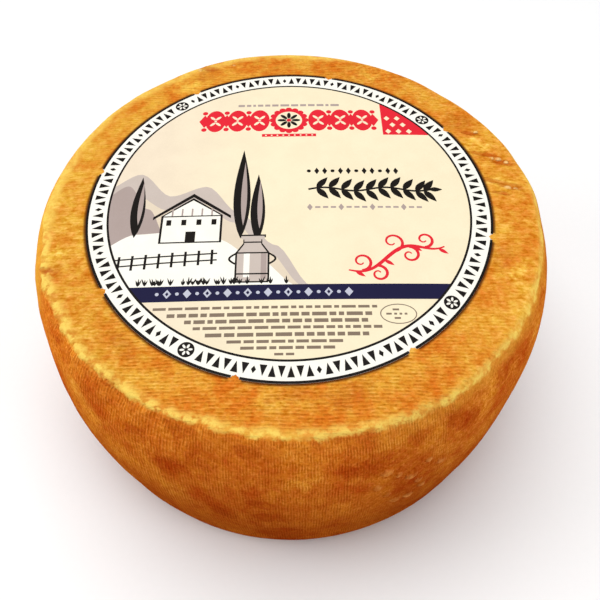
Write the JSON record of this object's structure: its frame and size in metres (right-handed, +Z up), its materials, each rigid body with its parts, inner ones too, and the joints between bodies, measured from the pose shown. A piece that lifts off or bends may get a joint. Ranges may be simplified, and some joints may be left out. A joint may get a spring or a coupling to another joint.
{
  "type": "whole wheel of goat's milk cheese",
  "caption": "Whole pressed wheel of goat's milk cheese with an orange cloth-marked rind, a bulging side and a round paper label on its top.",
  "frame": {"origin": "middle of the underside, on the surface that the wheel stands on", "axes": "+Z up through the wheel; -Y towards the side that the label is read from; +X to the reader's right"},
  "size_m": [0.2436, 0.2432, 0.126],
  "materials": {
    "rind": "orange cheese rind, lightly oiled, with the weave of the pressing cloth; plastic stands in for food",
    "label_paper": "cream paper with a satin print"
  },
  "bodies": {
    "root": {"cheese_wheel": "rind", "label": "label_paper"}
  },
  "joints": []
}
